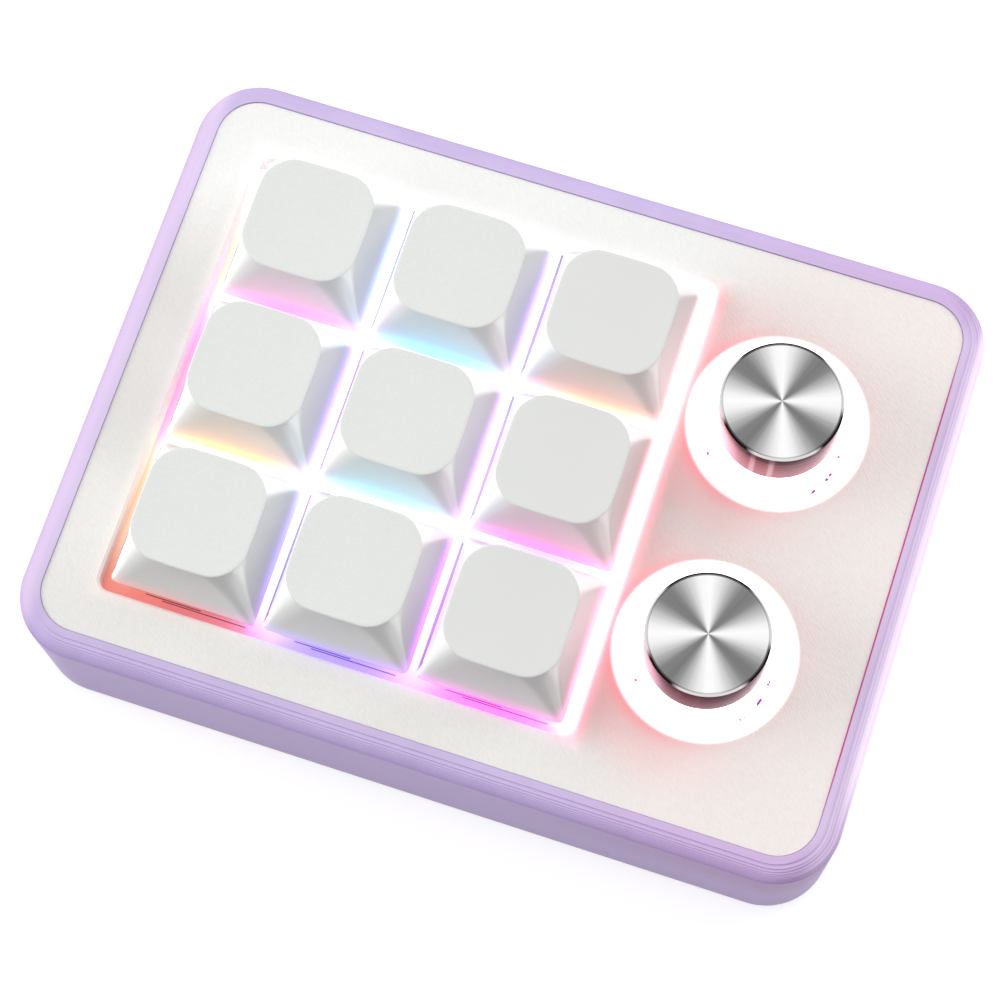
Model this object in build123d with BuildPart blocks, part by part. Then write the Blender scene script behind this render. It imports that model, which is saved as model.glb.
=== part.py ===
"""A macro keypad: nine keys on linear switches and two push dials in a printed case.

Millimetres. The origin is under the middle of the case, on the surface that the feet stand on.
+X runs from the keys to the dials, +Y to the back and +Z up.
"""

import os
from math import atan, cos, degrees, radians, sin

from build123d import *

os.makedirs("parts", exist_ok=True)

# Face plate, the white panel round the keys and the dials. Its length is the sum, from the
# left, of the window's margin, the window, the way to the dials and the margin beside them.
window_margin = 6.2
dial_inset = 11.8
dial_margin = 18.4
side_margin = 5.9
plate_corner = 5.0
plate_thickness = 2.0
plate_chamfer = 0.3

# Case frame, a soft-edged wall with a rim round the plate
rim_width = 2.9
rim_rise = 0.2
case_height = 19.5
shoulder_radius = 2.6
shoulder_rings = 2
plate_clearance = 0.15
ledge_width = 1.5
ledge_thickness = 1.5

# Bottom cover and feet
cover_thickness = 2.4
foot_radius = 4.0
foot_rise = 1.0
foot_inset = 12.0

# Key block
key_pitch = 19.05
key_columns = 3
key_rows = 3
window_gap = 1.3
window_corner = 1.5

# Keycap
cap_skirt = 18.1
cap_skirt_corner = 0.8
cap_top = 14.4
cap_top_corner = 3.6
cap_flare = 1.5
cap_stages = 2
cap_corner_facets = 3
cap_height = 9.0
cap_sink = 0.2
cap_wall = 1.3
cap_ceiling = 1.6
cap_draft = 13.0
cap_post_width = 5.5
cap_post_recess = 0.5

# Small round features, most of them hidden in the case, are drawn with flat sides
small_sides = 8
medium_sides = 16

# Key switch
housing_size = 14.0
housing_top = 11.0
housing_height = 6.6
housing_wall = 1.0
housing_roof = 1.2
flange_size = 15.6
flange_thickness = 1.0
switch_depth = 5.0
base_floor = 0.8
centre_pole_radius = 2.0
centre_pole_length = 3.3
guide_tube_radius = 1.8
guide_tube_height = 2.9
slider_length = 7.1
slider_width = 5.9
slider_height = 3.6
slider_rise = 0.4
slider_clearance = 0.1
cross_length = 4.0
cross_thickness = 1.2
cross_height = 3.6
cross_clearance = 0.04
stem_pole_radius = 1.15
stem_pole_length = 5.3
pole_clearance = 0.06
spring_wire = 0.4
spring_gap = 0.15
spring_end_gap = 0.05
contact_width = 1.3
contact_thickness = 0.5
contact_length = 3.3
contact_places = [(-3.81, 2.54), (2.54, 5.08)]

# Plates under the face plate
switch_plate_thickness = 1.5
switch_plate_clearance = 1.5
switch_plate_notch = 3.2
cutout_clearance = 0.05
board_thickness = 1.6
board_clearance = 2.0
board_notch = 8.0
hole_clearance = 0.1

# Lights on the board
key_light_length = 3.2
key_light_width = 2.8
key_light_thickness = 1.5
key_light_offset = 5.08
ring_light_size = 2.0
ring_light_height = 0.9
ring_light_radius = 9.0
light_clearance = 0.2
diffuser_radius = 12.6
diffuser_thickness = 0.8
diffuser_clearance = 0.2

# Dial: a rotary encoder that can be pushed, under a turned metal knob
dial_spacing = 29.3
dial_hole_radius = 10.75
light_well_radius = 10.2
encoder_length = 11.8
encoder_width = 12.4
encoder_height = 6.5
encoder_floor = 0.8
encoder_lid = 0.6
encoder_bore_radius = 4.1
bushing_radius = 3.5
bushing_length = 4.6
shaft_radius = 3.0
shaft_clearance = 0.05
shaft_flat_depth = 1.5
shaft_collar_radius = 3.8
shaft_collar_height = 1.0
plunger_radius = 2.2
plunger_clearance = 0.08
dome_radius = 2.6
dome_crown_radius = 1.2
dome_height = 0.8
dome_thickness = 0.15
encoder_pin_width = 0.8
encoder_pin_thickness = 0.5
encoder_pin_length = 3.0
encoder_pin_pitch = 2.5
encoder_pin_rise = 1.2
knob_radius = 7.3
knob_chamfer = 0.4
knob_height = 7.0
knob_rise = 1.4
knob_face_thickness = 1.2
set_screw_radius = 1.5
set_screw_length = 3.6
set_screw_height = 2.6

# Socket for the cable, in the back wall
port_width = 8.94
port_height = 3.2
port_depth = 7.35
port_wall = 0.3
port_setback = 0.1
tongue_width = 6.7
tongue_thickness = 0.7
tongue_length = 4.5
tongue_block = 1.5
wall_opening_width = 12.6
wall_opening_height = 6.6
wall_opening_corner = 2.0

# Screws that hold the whole stack together
screw_inset = 4.2
screw_radius = 1.0
screw_head_radius = 1.9
screw_head_height = 1.3
screw_recess = 1.6
screw_socket_radius = 0.85
screw_socket_depth = 0.8
screw_tip_gap = 0.2
screw_grip = 3.6
thread_clearance = 0.02
post_radius = 2.3

# Controller chip under the board
chip_size = 7.0
chip_thickness = 1.0

# Outline of the window, the plate, the case and its pocket
window_length = (key_columns - 1) * key_pitch + cap_skirt + 2 * window_gap
window_width = (key_rows - 1) * key_pitch + cap_skirt + 2 * window_gap
plate_length = window_margin + window_length + dial_inset + dial_margin
plate_width = window_width + 2 * side_margin
case_length = plate_length + 2 * rim_width
case_width = plate_width + 2 * rim_width
case_corner = plate_corner + rim_width
pocket_length = plate_length + 2 * plate_clearance
pocket_width = plate_width + 2 * plate_clearance
pocket_corner = plate_corner + plate_clearance

# Heights, from the floor up
case_bottom = foot_rise
cover_top = case_bottom + cover_thickness
plate_top = case_bottom + case_height
plate_bottom = plate_top - plate_thickness
rim_top = plate_top + rim_rise
cap_bottom = plate_top - cap_sink
slider_top = cap_bottom + cap_post_recess
slider_bottom = slider_top - slider_height
housing_roof_top = slider_top - slider_rise
switch_plate_top = housing_roof_top - housing_height
switch_plate_bottom = switch_plate_top - switch_plate_thickness
board_top = switch_plate_top - switch_depth
board_bottom = board_top - board_thickness
base_floor_top = board_top + base_floor
encoder_top = board_top + encoder_height
encoder_lid_bottom = encoder_top - encoder_lid
encoder_floor_top = board_top + encoder_floor
knob_bottom = plate_top + knob_rise
knob_top = knob_bottom + knob_height
shaft_top = knob_top - knob_face_thickness - plunger_clearance
collar_top = encoder_lid_bottom - shaft_clearance
collar_bottom = collar_top - shaft_collar_height
screw_top = switch_plate_top + screw_grip
head_seat = case_bottom + screw_recess

# Places in plan
block_x = -plate_length / 2 + window_margin + window_length / 2
dial_x = block_x + window_length / 2 + dial_inset
dial_places = [(dial_x, dial_spacing / 2), (dial_x, -dial_spacing / 2)]
screw_x = plate_length / 2 - screw_inset
screw_y = plate_width / 2 - screw_inset
foot_x = case_length / 2 - foot_inset
foot_y = case_width / 2 - foot_inset
key_places = []
for row in range(key_rows):
    for column in range(key_columns):
        x = block_x + (column - (key_columns - 1) / 2) * key_pitch
        y = ((key_rows - 1) / 2 - row) * key_pitch
        key_places.append((x, y))


def write(part, name):
    """Labels a finished piece and writes it under its own name."""
    part.label = name
    export_step(part, f"parts/{name}.step")


def copies(part, places):
    """Repeats a piece at each place, as one group of separate solids."""
    with BuildPart() as group:
        with Locations(*places):
            add(part)
    return group.part


def corner_places(x, y):
    """The four corners of a rectangle about the origin."""
    return [(-x, -y), (x, -y), (x, y), (-x, y)]


def reach(size, corner, angle):
    """How far a square with round corners reaches from its middle, at an angle from a side."""
    return (size / 2 - corner) * (cos(angle) + sin(angle)) + corner


# Case frame: a wall with a round shoulder, and two ledges inside
with BuildPart() as case_frame:
    with BuildSketch(Plane.XY.offset(case_bottom)):
        RectangleRounded(case_length, case_width, case_corner)
    extrude(amount=rim_top - shoulder_radius - case_bottom)
    for ring in range(shoulder_rings):
        low = radians(90 * ring / shoulder_rings)
        high = radians(90 * (ring + 1) / shoulder_rings)
        inset = shoulder_radius * (1 - cos(low))
        rise = shoulder_radius * (sin(high) - sin(low))
        run = shoulder_radius * (cos(low) - cos(high))
        with BuildSketch(Plane.XY.offset(rim_top - shoulder_radius * (1 - sin(low)))):
            RectangleRounded(case_length - 2 * inset, case_width - 2 * inset, case_corner - inset)
        extrude(amount=rise, taper=degrees(atan(run / rise)))
    with BuildSketch(Plane.XY.offset(case_bottom)):
        RectangleRounded(pocket_length, pocket_width, pocket_corner)
    extrude(amount=rim_top - case_bottom, mode=Mode.SUBTRACT)
    for ledge_bottom in (cover_top, plate_bottom - ledge_thickness):
        with BuildSketch(Plane.XY.offset(ledge_bottom)):
            RectangleRounded(pocket_length, pocket_width, pocket_corner)
            Rectangle(pocket_length - 2 * ledge_width, pocket_width - 2 * ledge_width, mode=Mode.SUBTRACT)
        extrude(amount=ledge_thickness)
    port_middle = board_top + port_height / 2
    with BuildSketch(Plane.XZ.offset(-case_width / 2)):
        with Locations((0, port_middle)):
            RectangleRounded(wall_opening_width, wall_opening_height, wall_opening_corner)
    extrude(amount=(case_width - pocket_width) / 2, mode=Mode.SUBTRACT)
write(case_frame.part, "case_frame")

# Bottom cover, with a post for each screw
with BuildPart() as bottom_cover:
    with BuildSketch(Plane.XY.offset(case_bottom)):
        RectangleRounded(plate_length, plate_width, plate_corner)
    extrude(amount=cover_thickness)
    with BuildSketch(Plane.XY.offset(cover_top)):
        with Locations(*corner_places(screw_x, screw_y)):
            RegularPolygon(post_radius, small_sides)
    extrude(amount=switch_plate_bottom - cover_top)
    with BuildSketch(Plane.XY.offset(case_bottom)):
        with Locations(*corner_places(screw_x, screw_y)):
            RegularPolygon(screw_radius + hole_clearance, small_sides)
    extrude(amount=switch_plate_bottom - case_bottom, mode=Mode.SUBTRACT)
    with BuildSketch(Plane.XY.offset(case_bottom)):
        with Locations(*corner_places(screw_x, screw_y)):
            RegularPolygon(screw_head_radius + hole_clearance, medium_sides)
    extrude(amount=screw_recess, mode=Mode.SUBTRACT)
write(bottom_cover.part, "bottom_cover")

# Face plate, with a window for the keys, two dial holes and four bosses underneath
with BuildPart() as face_plate:
    with BuildSketch(Plane.XY.offset(plate_bottom)):
        RectangleRounded(plate_length, plate_width, plate_corner)
        with Locations((block_x, 0)):
            RectangleRounded(window_length, window_width, window_corner, mode=Mode.SUBTRACT)
        with Locations(*dial_places):
            Circle(dial_hole_radius, mode=Mode.SUBTRACT)
    extrude(amount=plate_thickness)
    top_face = face_plate.faces().sort_by(Axis.Z)[-1]
    window_wire = top_face.inner_wires().sort_by(lambda wire: wire.length)[-1]
    chamfer(window_wire.edges(), plate_chamfer)
    with BuildSketch(Plane.XY.offset(switch_plate_top)):
        with Locations(*corner_places(screw_x, screw_y)):
            RegularPolygon(post_radius, small_sides)
    extrude(amount=plate_bottom - switch_plate_top)
    with BuildSketch(Plane.XY.offset(switch_plate_top)):
        with Locations(*corner_places(screw_x, screw_y)):
            RegularPolygon(screw_radius + thread_clearance, small_sides)
    extrude(amount=screw_grip + screw_tip_gap, mode=Mode.SUBTRACT)
write(face_plate.part, "face_plate")

# Switch plate, the white deck that the switches clip into
with BuildPart() as switch_plate:
    with BuildSketch(Plane.XY.offset(switch_plate_bottom)):
        Rectangle(pocket_length - 2 * switch_plate_clearance, pocket_width - 2 * switch_plate_clearance)
        with Locations(*corner_places(pocket_length / 2, pocket_width / 2)):
            Rectangle(2 * switch_plate_notch, 2 * switch_plate_notch, rotation=45, mode=Mode.SUBTRACT)
        with Locations(*key_places):
            Rectangle(housing_size, housing_size, mode=Mode.SUBTRACT)
        with Locations(*dial_places):
            RegularPolygon(light_well_radius, 2 * medium_sides, mode=Mode.SUBTRACT)
        with Locations(*corner_places(screw_x, screw_y)):
            RegularPolygon(screw_radius + hole_clearance, small_sides, mode=Mode.SUBTRACT)
    extrude(amount=switch_plate_thickness)
write(switch_plate.part, "switch_plate")

# Pins at the two sides of an encoder, three in front and two behind
pin_y = (encoder_width + encoder_pin_thickness) / 2
encoder_pin_places = [(step * encoder_pin_pitch, -pin_y) for step in (-1, 0, 1)]
encoder_pin_places += [(step * encoder_pin_pitch, pin_y) for step in (-1, 1)]

# Circuit board, soldered to the switches, with its corners cut away round the posts
board_length = pocket_length - 2 * board_clearance
board_width = pocket_width - 2 * board_clearance
with BuildPart() as circuit_board:
    with BuildSketch(Plane.XY.offset(board_bottom)):
        Rectangle(board_length, board_width)
        with Locations(*corner_places(board_length / 2, board_width / 2)):
            Rectangle(2 * board_notch, 2 * board_notch, mode=Mode.SUBTRACT)
        for x, y in key_places:
            with Locations((x, y)):
                RegularPolygon(centre_pole_radius + hole_clearance, small_sides, mode=Mode.SUBTRACT)
            with Locations(*[(x + dx, y + dy) for dx, dy in contact_places]):
                Rectangle(
                    contact_width + 2 * hole_clearance,
                    contact_thickness + 2 * hole_clearance,
                    mode=Mode.SUBTRACT,
                )
            with Locations((x, y - key_light_offset)):
                Rectangle(
                    key_light_length + 2 * light_clearance,
                    key_light_width + 2 * light_clearance,
                    mode=Mode.SUBTRACT,
                )
        for x, y in dial_places:
            with Locations(*[(x + dx, y + dy) for dx, dy in encoder_pin_places]):
                Rectangle(
                    encoder_pin_width + 2 * hole_clearance,
                    encoder_pin_thickness + 2 * hole_clearance,
                    mode=Mode.SUBTRACT,
                )
    extrude(amount=board_thickness)
write(circuit_board.part, "circuit_board")

# Controller chip under the board, between the two encoders
with BuildPart() as controller_chip:
    with BuildSketch(Plane.XY.offset(board_bottom - chip_thickness)):
        with Locations((dial_x, 0)):
            Rectangle(chip_size, chip_size)
    extrude(amount=chip_thickness)
write(controller_chip.part, "controller_chip")

# Cable socket: a metal shell that opens in the back wall, and the tongue inside it
port_mouth = pocket_width / 2 - port_setback
port_back = port_mouth - port_depth
with BuildPart() as port_shell:
    with BuildSketch(Plane.XZ.offset(-port_mouth)):
        with Locations((0, port_middle)):
            SlotOverall(port_width, port_height)
            SlotOverall(port_width - 2 * port_wall, port_height - 2 * port_wall, mode=Mode.SUBTRACT)
    extrude(amount=port_depth)
write(port_shell.part, "port_shell")

with BuildPart() as port_tongue:
    with BuildSketch(Plane.XZ.offset(-port_back)):
        with Locations((0, port_middle)):
            SlotOverall(port_width - 2 * port_wall, port_height - 2 * port_wall)
    extrude(amount=-tongue_block)
    with BuildSketch(Plane.XZ.offset(-port_back - tongue_block)):
        with Locations((0, port_middle)):
            Rectangle(tongue_width, tongue_thickness)
    extrude(amount=-tongue_length)
write(port_tongue.part, "port_tongue")

# Rubber feet
with BuildPart() as rubber_feet:
    with BuildSketch():
        with Locations(*corner_places(foot_x, foot_y)):
            RegularPolygon(foot_radius, medium_sides)
    extrude(amount=foot_rise)
write(rubber_feet.part, "rubber_feet")

# Case screws, from the bottom cover up into the posts of the face plate
with BuildPart() as case_screw:
    with BuildSketch(Plane.XY.offset(head_seat - screw_head_height)):
        RegularPolygon(screw_head_radius, medium_sides)
        RegularPolygon(screw_socket_radius, 6, mode=Mode.SUBTRACT)
    extrude(amount=screw_socket_depth)
    with BuildSketch(Plane.XY.offset(head_seat - screw_head_height + screw_socket_depth)):
        RegularPolygon(screw_head_radius, medium_sides)
    extrude(amount=screw_head_height - screw_socket_depth)
    with BuildSketch(Plane.XY.offset(head_seat)):
        RegularPolygon(screw_radius, small_sides)
    extrude(amount=screw_top - head_seat)
write(copies(case_screw.part, corner_places(screw_x, screw_y)), "case_screws")

# Switch base: a square tub with a flange, a centre pole and a guide tube for the stem
base_size = housing_size - 2 * cutout_clearance
with BuildPart() as switch_base:
    with BuildSketch(Plane.XY.offset(board_top)):
        Rectangle(base_size, base_size)
    extrude(amount=switch_depth)
    with BuildSketch(Plane.XY.offset(switch_plate_top)):
        Rectangle(flange_size, flange_size)
    extrude(amount=flange_thickness)
    with BuildSketch(Plane.XY.offset(base_floor_top)):
        Rectangle(base_size - 2 * housing_wall, base_size - 2 * housing_wall)
    extrude(amount=switch_depth + flange_thickness - base_floor, mode=Mode.SUBTRACT)
    with BuildSketch(Plane.XY.offset(board_top)):
        with Locations((0, -key_light_offset)):
            Rectangle(key_light_length + 2 * light_clearance, key_light_width + 2 * light_clearance)
    extrude(amount=base_floor, mode=Mode.SUBTRACT)
    with BuildSketch(Plane.XY.offset(board_top - centre_pole_length)):
        RegularPolygon(centre_pole_radius, small_sides)
    extrude(amount=centre_pole_length + base_floor)
    with BuildSketch(Plane.XY.offset(base_floor_top)):
        RegularPolygon(guide_tube_radius, small_sides)
    extrude(amount=guide_tube_height)
    with BuildSketch(Plane.XY.offset(board_top - centre_pole_length + base_floor)):
        RegularPolygon(stem_pole_radius + pole_clearance, small_sides)
    extrude(amount=centre_pole_length + guide_tube_height, mode=Mode.SUBTRACT)
write(copies(switch_base.part, key_places), "switch_bases")

# Switch cover: a tapered hood with an opening for the slider
cover_height = housing_height - flange_thickness
cover_taper = degrees(atan((housing_size - housing_top) / 2 / cover_height))
with BuildPart() as switch_cover:
    with BuildSketch(Plane.XY.offset(switch_plate_top + flange_thickness)):
        Rectangle(housing_size, housing_size)
    extrude(amount=cover_height, taper=cover_taper)
    with BuildSketch(Plane.XY.offset(switch_plate_top + flange_thickness)):
        Rectangle(housing_size - 2 * housing_wall, housing_size - 2 * housing_wall)
    extrude(amount=cover_height - housing_roof, taper=cover_taper, mode=Mode.SUBTRACT)
    with BuildSketch(Plane.XY.offset(housing_roof_top - housing_roof)):
        Rectangle(slider_length + 2 * slider_clearance, slider_width + 2 * slider_clearance)
    extrude(amount=housing_roof, mode=Mode.SUBTRACT)
write(copies(switch_cover.part, key_places), "switch_covers")

# Contact pins of the switches
with BuildPart() as switch_contacts:
    with BuildSketch(Plane.XY.offset(board_top - contact_length)):
        with Locations(*contact_places):
            Rectangle(contact_width, contact_thickness)
    extrude(amount=contact_length)
write(copies(switch_contacts.part, key_places), "switch_contacts")

# Key stem: the slider with its cross on top and its pole below
with BuildPart() as key_stem:
    with BuildSketch(Plane.XY.offset(slider_bottom)):
        Rectangle(slider_length, slider_width)
    extrude(amount=slider_height)
    with BuildSketch(Plane.XY.offset(slider_top)):
        Rectangle(cross_length, cross_thickness)
        Rectangle(cross_thickness, cross_length)
    extrude(amount=cross_height)
    with BuildSketch(Plane.XY.offset(slider_bottom - stem_pole_length)):
        RegularPolygon(stem_pole_radius, small_sides)
    extrude(amount=stem_pole_length)

# Key spring, drawn as the sleeve that its turns fill
spring_radius = guide_tube_radius + spring_gap
with BuildPart() as key_spring:
    with BuildSketch(Plane.XY.offset(base_floor_top)):
        RegularPolygon(spring_radius + spring_wire, small_sides)
        RegularPolygon(spring_radius, small_sides, mode=Mode.SUBTRACT)
    extrude(amount=slider_bottom - spring_end_gap - base_floor_top)

# Keycap: a shell that flares from a soft square top to a sharp square skirt, with a post.
# Its corners are facets that widen from the skirt up to the round corners of the top.
cap_top_height = cap_bottom + cap_height
inner_size = cap_skirt - 2 * cap_wall
stage_height = cap_height / cap_stages
cap_sizes = []
for stage in range(cap_stages + 1):
    cap_sizes.append(cap_top + (cap_skirt - cap_top) * (1 - stage / cap_stages) ** cap_flare)
with BuildPart() as keycap:
    for stage in range(cap_stages):
        with BuildSketch(Plane.XY.offset(cap_bottom + stage * stage_height)):
            Rectangle(cap_sizes[stage], cap_sizes[stage])
        stage_run = (cap_sizes[stage] - cap_sizes[stage + 1]) / 2
        extrude(amount=stage_height, taper=degrees(atan(stage_run / stage_height)))
    for facet in range(4 * cap_corner_facets):
        quarter, step = divmod(facet, cap_corner_facets)
        angle = radians(90 * (step + 1) / (cap_corner_facets + 1))
        turned = angle + radians(90 * quarter)
        low = reach(cap_skirt, cap_skirt_corner, angle)
        high = reach(cap_top, cap_top_corner, angle)
        at = Vector(low * cos(turned), low * sin(turned), cap_bottom)
        slope = (low - high) / cap_height
        split(bisect_by=Plane(at, z_dir=(cos(turned), sin(turned), slope)), keep=Keep.BOTTOM)
    with BuildSketch(Plane.XY.offset(cap_bottom)):
        Rectangle(inner_size, inner_size)
    extrude(amount=cap_height - cap_ceiling, taper=cap_draft, mode=Mode.SUBTRACT)
    with BuildSketch(Plane.XY.offset(slider_top)):
        Rectangle(cap_post_width, cap_post_width)
    extrude(amount=cap_top_height - cap_ceiling - slider_top)
    with BuildSketch(Plane.XY.offset(slider_top)):
        Rectangle(cross_length + 2 * cross_clearance, cross_thickness + 2 * cross_clearance)
        Rectangle(cross_thickness + 2 * cross_clearance, cross_length + 2 * cross_clearance)
    extrude(amount=cross_height + cross_clearance, mode=Mode.SUBTRACT)

for number, place in enumerate(key_places, start=1):
    write(copies(key_stem.part, [place]), f"key_stem_{number}")
    write(copies(key_spring.part, [place]), f"key_spring_{number}")
    write(copies(keycap.part, [place]), f"keycap_{number}")

# Lights: one in the board under each switch, four on the board round each encoder
with BuildPart() as key_lights:
    with BuildSketch(Plane.XY.offset(board_top - key_light_thickness)):
        with Locations(*[(x, y - key_light_offset) for x, y in key_places]):
            Rectangle(key_light_length, key_light_width)
    extrude(amount=key_light_thickness)
write(key_lights.part, "key_lights")

with BuildPart() as ring_lights:
    with BuildSketch(Plane.XY.offset(board_top)):
        with Locations(*dial_places):
            with PolarLocations(ring_light_radius, 4):
                Rectangle(ring_light_size, ring_light_size)
    extrude(amount=ring_light_height)
write(ring_lights.part, "ring_lights")

# Diffusers: milky discs on the deck over the ring lights, each with a hole for its encoder
with BuildPart() as light_diffusers:
    with BuildSketch(Plane.XY.offset(switch_plate_top)):
        with Locations(*dial_places):
            RegularPolygon(diffuser_radius, 2 * medium_sides)
            Rectangle(
                encoder_length + 2 * diffuser_clearance,
                encoder_width + 2 * diffuser_clearance,
                mode=Mode.SUBTRACT,
            )
    extrude(amount=diffuser_thickness)
write(light_diffusers.part, "light_diffusers")

# Encoder base: a box with a round chamber for the shaft's collar, open at the top
with BuildPart() as encoder_base:
    with BuildSketch(Plane.XY.offset(board_top)):
        Rectangle(encoder_length, encoder_width)
    extrude(amount=encoder_height - encoder_lid)
    with BuildSketch(Plane.XY.offset(encoder_floor_top)):
        RegularPolygon(encoder_bore_radius, medium_sides)
    extrude(amount=encoder_lid_bottom - encoder_floor_top, mode=Mode.SUBTRACT)
write(copies(encoder_base.part, dial_places), "encoder_bases")

# Encoder bracket: a lid with the bushing that the shaft turns in
with BuildPart() as encoder_bracket:
    with BuildSketch(Plane.XY.offset(encoder_lid_bottom)):
        Rectangle(encoder_length, encoder_width)
    extrude(amount=encoder_lid)
    with BuildSketch(Plane.XY.offset(encoder_top)):
        RegularPolygon(bushing_radius, medium_sides)
    extrude(amount=bushing_length)
    with BuildSketch(Plane.XY.offset(encoder_lid_bottom)):
        Circle(shaft_radius + shaft_clearance)
    extrude(amount=encoder_lid + bushing_length, mode=Mode.SUBTRACT)
write(copies(encoder_bracket.part, dial_places), "encoder_brackets")

with BuildPart() as encoder_pins:
    with BuildSketch(Plane.XY.offset(board_top - encoder_pin_length)):
        with Locations(*encoder_pin_places):
            Rectangle(encoder_pin_width, encoder_pin_thickness)
    extrude(amount=encoder_pin_length + encoder_pin_rise)
write(copies(encoder_pins.part, dial_places), "encoder_pins")

# Click dome: a thin shallow cap of sheet metal on the encoder's floor
dome_taper = degrees(atan((dome_radius - dome_crown_radius) / dome_height))
with BuildPart() as click_dome:
    with BuildSketch(Plane.XY.offset(encoder_floor_top)):
        RegularPolygon(dome_radius, small_sides)
    extrude(amount=dome_height, taper=dome_taper)
    with BuildSketch(Plane.XY.offset(encoder_floor_top)):
        RegularPolygon(dome_radius - 2 * dome_thickness, small_sides)
    extrude(amount=dome_height - dome_thickness, taper=dome_taper, mode=Mode.SUBTRACT)

# Plunger between the dome and the shaft: it goes down with the dial but doesn't turn
plunger_bottom = encoder_floor_top + dome_height + plunger_clearance
with BuildPart() as push_plunger:
    with BuildSketch(Plane.XY.offset(plunger_bottom)):
        RegularPolygon(plunger_radius, medium_sides)
    extrude(amount=collar_bottom - plunger_clearance - plunger_bottom)

# Encoder shaft: a collar under the lid, and a stem with a flat for the knob
flat_bottom = knob_bottom - 2 * plunger_clearance
with BuildPart() as encoder_shaft:
    with BuildSketch(Plane.XY.offset(collar_bottom)):
        RegularPolygon(shaft_collar_radius, medium_sides)
    extrude(amount=shaft_collar_height)
    with BuildSketch(Plane.XY.offset(collar_top)):
        Circle(shaft_radius)
    extrude(amount=shaft_top - collar_top)
    with BuildSketch(Plane.XY.offset(flat_bottom)):
        with Locations((0, shaft_radius)):
            Rectangle(2 * shaft_radius, 2 * shaft_flat_depth)
    extrude(amount=shaft_top - flat_bottom, mode=Mode.SUBTRACT)

# Knob: turned metal, with a flat-sided bore and a hole for its set screw
bore_radius = shaft_radius + shaft_clearance
flat_y = shaft_radius - shaft_flat_depth + shaft_clearance
screw_axis_height = knob_bottom + set_screw_height
with BuildPart() as knob:
    with BuildSketch(Plane.XZ):
        with BuildLine():
            Polyline(
                (0, knob_bottom),
                (knob_radius, knob_bottom),
                (knob_radius, knob_top - knob_chamfer),
                (knob_radius - knob_chamfer, knob_top),
                (0, knob_top),
                close=True,
            )
        make_face()
    revolve(axis=Axis.Z)
    with BuildSketch(Plane.XY.offset(knob_bottom)):
        Circle(bore_radius)
        with Locations((0, flat_y + bore_radius)):
            Rectangle(2 * bore_radius, 2 * bore_radius, mode=Mode.SUBTRACT)
    extrude(amount=shaft_top + plunger_clearance - knob_bottom, mode=Mode.SUBTRACT)
    with BuildSketch(Plane.XZ.offset(-flat_y)):
        with Locations((0, screw_axis_height)):
            RegularPolygon(set_screw_radius + thread_clearance, medium_sides)
    extrude(amount=-knob_radius, mode=Mode.SUBTRACT)

# Set screw that holds the knob on the shaft's flat
with BuildPart() as knob_screw:
    with BuildSketch(Plane.XZ.offset(-flat_y)):
        with Locations((0, screw_axis_height)):
            RegularPolygon(set_screw_radius, medium_sides)
    extrude(amount=-set_screw_length)
    with BuildSketch(Plane.XZ.offset(-flat_y - set_screw_length)):
        with Locations((0, screw_axis_height)):
            RegularPolygon(screw_socket_radius, 6)
    extrude(amount=screw_socket_depth, mode=Mode.SUBTRACT)

for number, place in enumerate(dial_places, start=1):
    write(copies(click_dome.part, [place]), f"click_dome_{number}")
    write(copies(push_plunger.part, [place]), f"push_plunger_{number}")
    write(copies(encoder_shaft.part, [place]), f"encoder_shaft_{number}")
    write(copies(knob.part, [place]), f"knob_{number}")
    write(copies(knob_screw.part, [place]), f"knob_screw_{number}")

print("window", window_length, window_width, "block x", block_x, "dial x", dial_x)
print("plate top", plate_top, "switch plate top", switch_plate_top, "board", board_bottom, board_top)
print("cap", cap_bottom, cap_top_height, "knob", knob_bottom, knob_top, "shaft top", shaft_top)
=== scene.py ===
# %% [markdown]
# A macro keypad: nine keycaps and two turned knobs in a printed case, with lights inside.
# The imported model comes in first. It gives every part its place and its size, so each new
# piece below is measured from the part that it stands for, and lands where that part is.

from math import atan2, cos, pi, radians, sin, sqrt

import bmesh
import bpy
from mathutils import Matrix, Quaternion, Vector


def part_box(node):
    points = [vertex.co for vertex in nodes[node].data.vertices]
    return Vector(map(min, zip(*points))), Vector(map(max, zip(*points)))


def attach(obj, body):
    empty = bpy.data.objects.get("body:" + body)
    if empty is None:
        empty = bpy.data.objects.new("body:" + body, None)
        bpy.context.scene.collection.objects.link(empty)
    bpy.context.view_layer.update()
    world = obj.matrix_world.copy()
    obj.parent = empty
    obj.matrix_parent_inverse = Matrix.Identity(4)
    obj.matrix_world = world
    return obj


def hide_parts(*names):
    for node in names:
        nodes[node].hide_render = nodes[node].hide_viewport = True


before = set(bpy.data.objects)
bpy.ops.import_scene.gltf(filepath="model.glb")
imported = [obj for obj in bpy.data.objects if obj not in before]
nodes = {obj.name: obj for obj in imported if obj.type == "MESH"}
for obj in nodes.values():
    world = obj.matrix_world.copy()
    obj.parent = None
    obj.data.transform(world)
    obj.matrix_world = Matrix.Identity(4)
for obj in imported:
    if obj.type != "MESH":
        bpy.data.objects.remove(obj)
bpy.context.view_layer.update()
MM = 0.001

# %% [markdown]
# The camera stands high in front of the keypad and a little to its right, and is turned a
# few degrees about its own axis. A long lens from a third of a metre keeps the case's sides
# nearly parallel. Aim, place and turn are set one after the other, so each can be changed.

# %% Place the camera
camera_place = Vector((36.39, -89.94, 331.58)) * MM
camera_aim = Vector((0.71, -4.58, 20.5)) * MM
camera_turn = radians(-4.574)
focal_length = 98.375

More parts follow.
